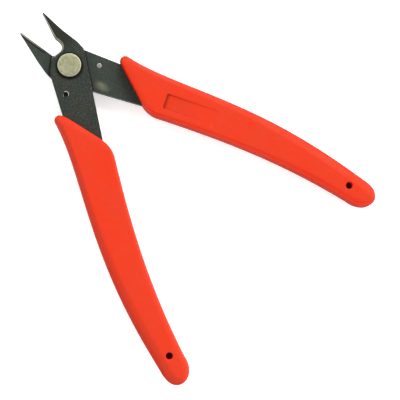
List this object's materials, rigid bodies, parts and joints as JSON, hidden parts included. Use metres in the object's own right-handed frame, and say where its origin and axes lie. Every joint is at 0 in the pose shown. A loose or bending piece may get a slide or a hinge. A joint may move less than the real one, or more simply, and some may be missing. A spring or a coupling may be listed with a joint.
{
  "type": "diagonal cutting pliers",
  "caption": "Small bypass shear cutter for wire: two black steel levers crossing on a disc-headed pivot, sprung open, with red moulded grips.",
  "frame": {"origin": "on the pivot axis, in the plane the tool lies on: the flush rear end of the pivot screw and nut, level with the backs of the grips", "axes": "+Z along the pivot axis towards the disc head and the front face, +Y from the pivot towards the jaw tips, +X across the tool, towards the jaw of the front lever and the handle of the rear lever"},
  "size_m": [0.0918, 0.1183, 0.01],
  "materials": {
    "black_oxide_steel": "black oxide, matt",
    "pivot_steel": "satin",
    "spring_steel": "bright drawn wire",
    "grip_rubber": "moulded, soft sheen"
  },
  "bodies": {
    "front_half": {"front_lever": "black_oxide_steel", "front_grip": "grip_rubber", "pivot_screw": "pivot_steel", "pivot_washer": "pivot_steel", "pivot_nut": "pivot_steel", "return_spring": "spring_steel"},
    "rear_half": {"rear_lever": "black_oxide_steel", "rear_grip": "grip_rubber"}
  },
  "joints": [
    {"name": "squeeze", "type": "hinge", "parent": "front_half", "child": "rear_half", "pos_m": [0, 0, 0], "axis": [0, 0, -1], "range_deg": [0, 28], "stiffness_Nm_per_rad": 1.2, "deforming": ["return_spring"]}
  ]
}
